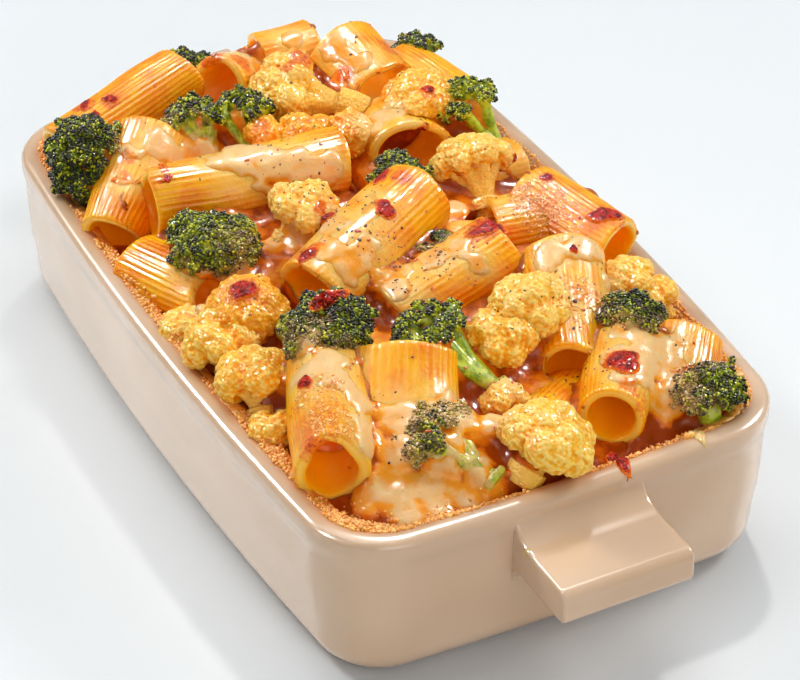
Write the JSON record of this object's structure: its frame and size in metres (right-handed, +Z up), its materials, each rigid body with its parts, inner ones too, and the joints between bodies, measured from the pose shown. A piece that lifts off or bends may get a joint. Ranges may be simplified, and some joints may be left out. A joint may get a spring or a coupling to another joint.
{
  "type": "baked pasta in its dish",
  "caption": "Oven-baked ridged pasta tubes with broccoli and cauliflower in white sauce, golden crumbs round the edge, heaped in a glazed rectangular stoneware dish with slab handles",
  "frame": {"origin": "middle of the dish's foot, on the surface it stands on", "axes": "+Z up; +X along the dish towards one handle; +Y to the long side that the heap of pasta leans away from"},
  "size_m": [0.28, 0.144, 0.0775],
  "materials": {
    "stoneware": "cream glaze, glossy",
    "pasta": "food: cooked pasta with a thin film of sauce, browned in places",
    "sauce": "food: baked white sauce, satin",
    "broccoli": "food: roasted broccoli, matt",
    "cauliflower": "food: cooked cauliflower, satin"
  },
  "bodies": {
    "root": {"dish": "stoneware", "broccoli_crown_front": "broccoli", "broccoli_long_stem": "broccoli", "cauliflower_cream_large": "cauliflower", "cauliflower_cream_small": "cauliflower", "cauliflower_middle": "cauliflower", "rigatone_centre": "pasta", "rigatone_centre_right": "pasta", "rigatone_right_domed": "pasta", "rigatone_front_left": "pasta", "rigatone_front_curtain": "pasta", "broccoli_front": "broccoli", "cauliflower_front": "cauliflower", "rigatone_front_right": "pasta", "broccoli_right": "broccoli", "broccoli_front_corner": "broccoli", "broccoli_slip_right": "broccoli", "broccoli_slip_left": "broccoli", "broccoli_left": "broccoli", "rigatone_left_long": "pasta", "cauliflower_left_round": "cauliflower", "cauliflower_left_lower": "cauliflower", "cauliflower_left_front": "cauliflower", "rigatone_right_far": "pasta", "rigatone_mouth_up": "pasta", "broccoli_far_right": "broccoli", "cauliflower_far_right": "cauliflower", "cauliflower_far_large": "cauliflower", "cauliflower_nub_left": "cauliflower", "cauliflower_nub_middle": "cauliflower", "cauliflower_nub_right": "cauliflower", "cauliflower_branched": "cauliflower", "rigatone_under_dome": "pasta", "broccoli_upright_left": "broccoli", "broccoli_upright_right": "broccoli", "rigatone_far_mouth": "pasta", "rigatone_left_sauced": "pasta", "rigatone_left_front": "pasta", "broccoli_left_corner": "broccoli", "rigatone_far_left": "pasta", "rigatone_far_end": "pasta", "rigatone_far_peak": "pasta", "rigatone_far_side": "pasta", "broccoli_far_end": "broccoli", "broccoli_far_corner": "broccoli", "cauliflower_right_bright": "cauliflower", "cauliflower_stem_wedge": "cauliflower", "rigatone_front_corner": "pasta", "rigatone_right_low": "pasta", "rigatone_far_low": "pasta", "rigatone_front_low": "pasta", "cauliflower_left_pale": "cauliflower", "cauliflower_cut_stem": "cauliflower", "cauliflower_stem_front": "cauliflower", "sauce_filling": "sauce"}
  },
  "joints": []
}
